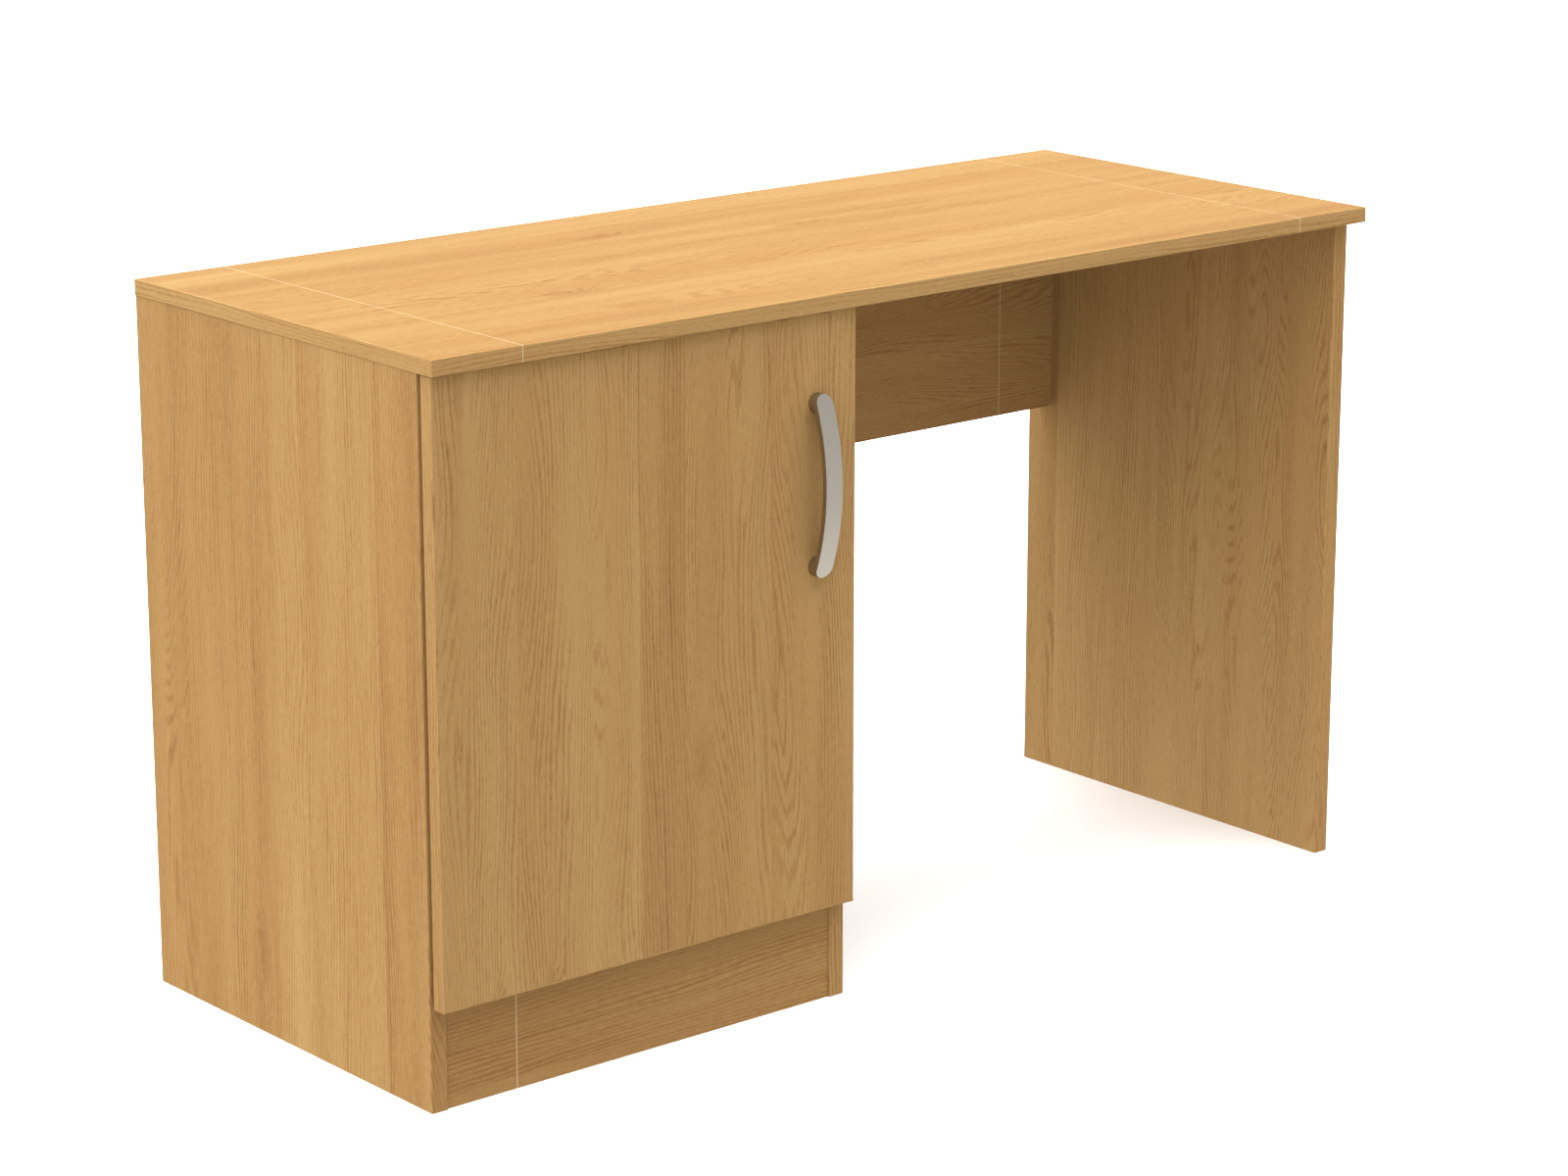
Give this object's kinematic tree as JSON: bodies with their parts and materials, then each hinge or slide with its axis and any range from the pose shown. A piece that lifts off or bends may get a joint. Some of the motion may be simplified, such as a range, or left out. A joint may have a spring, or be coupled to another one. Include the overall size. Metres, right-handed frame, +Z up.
{
  "type": "teacher desk",
  "caption": "Wood-effect panel desk with a kneehole, a modesty panel and a cupboard whose door swings on concealed hinges behind a bow handle.",
  "frame": {"origin": "on the floor, under the centre of the whole desk with its handle", "axes": "+X to the user's right as the user faces the front, +Y from the door side towards the modesty panel, +Z up"},
  "size_m": [1.2, 0.51, 0.715],
  "materials": {
    "oak_board": "oak-effect melamine on chipboard, fine texture",
    "oak_edging": "oak-effect edging strip, rounded corners",
    "satin_metal": "satin, brushed along its length",
    "bright_steel": "nickel plated",
    "cast_zinc": "die-cast zinc",
    "beech": "bare beech",
    "block_plastic": "moulded, light brown",
    "catch_plastic": "moulded, off-white",
    "magnet": "dark ferrite between steel pole plates",
    "bumper": "soft translucent pad"
  },
  "bodies": {
    "desk": {"cam_bolts": "bright_steel", "cam_locks": "cast_zinc", "catch_housing": "catch_plastic", "catch_magnet": "magnet", "catch_screws": "bright_steel", "corner_block_screws": "bright_steel", "corner_blocks": "block_plastic", "cupboard_back": "oak_board", "cupboard_base": "oak_board", "cupboard_base_edging": "oak_edging", "desktop": "oak_board", "desktop_front_edging": "oak_edging", "desktop_left_edging": "oak_edging", "desktop_rear_edging": "oak_edging", "desktop_right_edging": "oak_edging", "desktop_screws": "bright_steel", "end_panel": "oak_board", "end_panel_front_edging": "oak_edging", "end_panel_rear_edging": "oak_edging", "front_rail": "oak_board", "front_rail_edging": "oak_edging", "hinge_arm_screws": "bright_steel", "hinge_plate_screws": "bright_steel", "inner_side_panel": "oak_board", "inner_side_panel_front_edging": "oak_edging", "inner_side_panel_rear_edging": "oak_edging", "left_side_panel": "oak_board", "left_side_panel_front_edging": "oak_edging", "left_side_panel_rear_edging": "oak_edging", "lower_hinge_arm": "bright_steel", "lower_hinge_plate": "bright_steel", "modesty_bottom_edging": "oak_edging", "modesty_panel": "oak_board", "plinth": "oak_board", "rear_rail": "oak_board", "shelf": "oak_board", "shelf_edging": "oak_edging", "shelf_pins": "bright_steel", "upper_hinge_arm": "bright_steel", "upper_hinge_plate": "bright_steel", "wood_dowels": "beech"},
    "door": {"door_bottom_edging": "oak_edging", "door_bumpers": "bumper", "door_handle": "satin_metal", "door_left_edging": "oak_edging", "door_panel": "oak_board", "door_right_edging": "oak_edging", "door_top_edging": "oak_edging", "handle_screws": "bright_steel", "hinge_cup_screws": "bright_steel", "hinge_pins": "bright_steel", "lower_hinge_cup": "bright_steel", "strike_plate": "bright_steel", "strike_screw": "bright_steel", "upper_hinge_cup": "bright_steel"}
  },
  "joints": [
    {"name": "door_swing", "type": "hinge", "parent": "desk", "child": "door", "pos_m": [-0.5901, -0.2212, 0.4], "axis": [0, 0, -1], "range_deg": [0, 95]}
  ]
}
